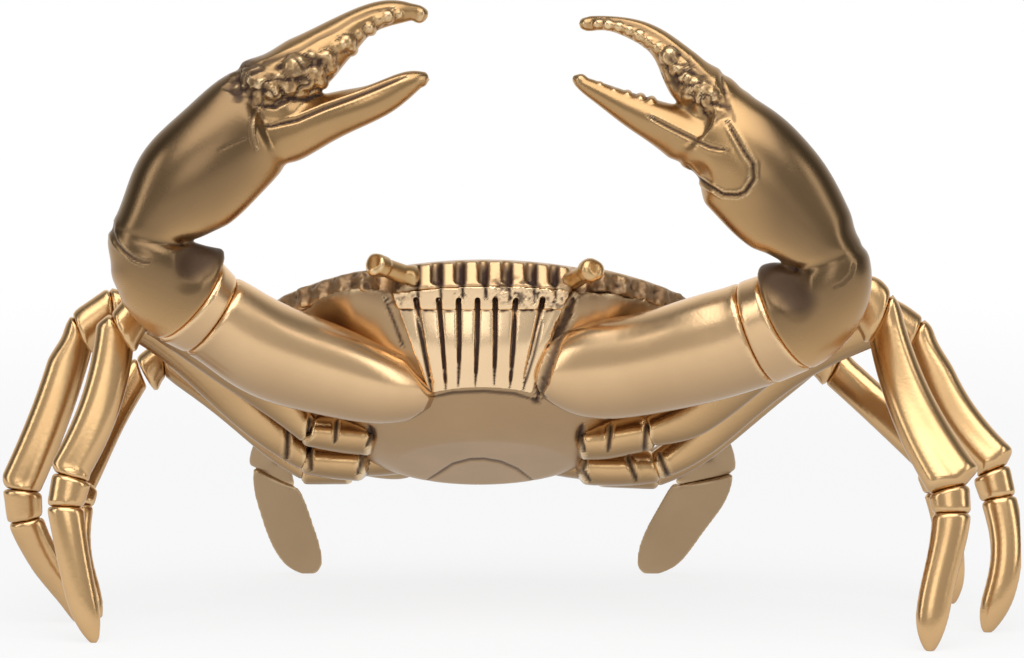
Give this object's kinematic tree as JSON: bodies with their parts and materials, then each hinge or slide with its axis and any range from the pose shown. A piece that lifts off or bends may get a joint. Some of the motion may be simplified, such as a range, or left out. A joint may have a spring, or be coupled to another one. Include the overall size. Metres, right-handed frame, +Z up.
{
  "type": "crab figurine",
  "caption": "Free-standing cast brass crab with raised claws, segmented walking legs, paddle hind legs, scalloped shell edge and stalked eyes.",
  "frame": {"origin": "middle of the footprint box, on the surface that the toes stand on", "axes": "+X to the viewer's right across the spread claws and legs, +Y from the face towards the rear, +Z up"},
  "size_m": [0.433, 0.1894, 0.2678],
  "materials": {
    "shell_brass": "antique, rubbed bright on the high parts",
    "belly_brass": "smooth satin, greyed towards the bottom",
    "mouth_brass": "rough as cast, ribs rubbed bright",
    "claw_brass": "antique satin, brown patina in the grooves",
    "arm_brass": "antique satin, bright highlights",
    "leg_brass": "antique satin, brown patina in the grooves",
    "paddle_brass": "dull antique satin, greyish brown",
    "eye_brass": "antique satin"
  },
  "bodies": {
    "root": {"carapace": "shell_brass", "left_arm": "arm_brass", "left_cuff": "arm_brass", "left_eye": "eye_brass", "left_leg1_ankle": "leg_brass", "left_leg1_hip": "leg_brass", "left_leg1_knee": "leg_brass", "left_leg1_shin": "leg_brass", "left_leg1_thigh": "leg_brass", "left_leg1_toe": "leg_brass", "left_leg2_ankle": "leg_brass", "left_leg2_hip": "leg_brass", "left_leg2_knee": "leg_brass", "left_leg2_shin": "leg_brass", "left_leg2_thigh": "leg_brass", "left_leg2_toe": "leg_brass", "left_leg3_ankle": "leg_brass", "left_leg3_hip": "leg_brass", "left_leg3_knee": "leg_brass", "left_leg3_shin": "leg_brass", "left_leg3_thigh": "leg_brass", "left_leg3_toe": "leg_brass", "left_lower_finger": "claw_brass", "left_paddle_blade": "paddle_brass", "left_paddle_shank": "paddle_brass", "left_paddle_thigh": "paddle_brass", "left_palm": "claw_brass", "left_upper_finger": "claw_brass", "left_wrist": "claw_brass", "mouth_plate": "mouth_brass", "right_arm": "arm_brass", "right_cuff": "arm_brass", "right_eye": "eye_brass", "right_leg1_ankle": "leg_brass", "right_leg1_hip": "leg_brass", "right_leg1_knee": "leg_brass", "right_leg1_shin": "leg_brass", "right_leg1_thigh": "leg_brass", "right_leg1_toe": "leg_brass", "right_leg2_ankle": "leg_brass", "right_leg2_hip": "leg_brass", "right_leg2_knee": "leg_brass", "right_leg2_shin": "leg_brass", "right_leg2_thigh": "leg_brass", "right_leg2_toe": "leg_brass", "right_leg3_ankle": "leg_brass", "right_leg3_hip": "leg_brass", "right_leg3_knee": "leg_brass", "right_leg3_shin": "leg_brass", "right_leg3_thigh": "leg_brass", "right_leg3_toe": "leg_brass", "right_lower_finger": "claw_brass", "right_paddle_blade": "paddle_brass", "right_paddle_shank": "paddle_brass", "right_paddle_thigh": "paddle_brass", "right_palm": "claw_brass", "right_upper_finger": "claw_brass", "right_wrist": "claw_brass", "underbody": "belly_brass"}
  },
  "joints": []
}
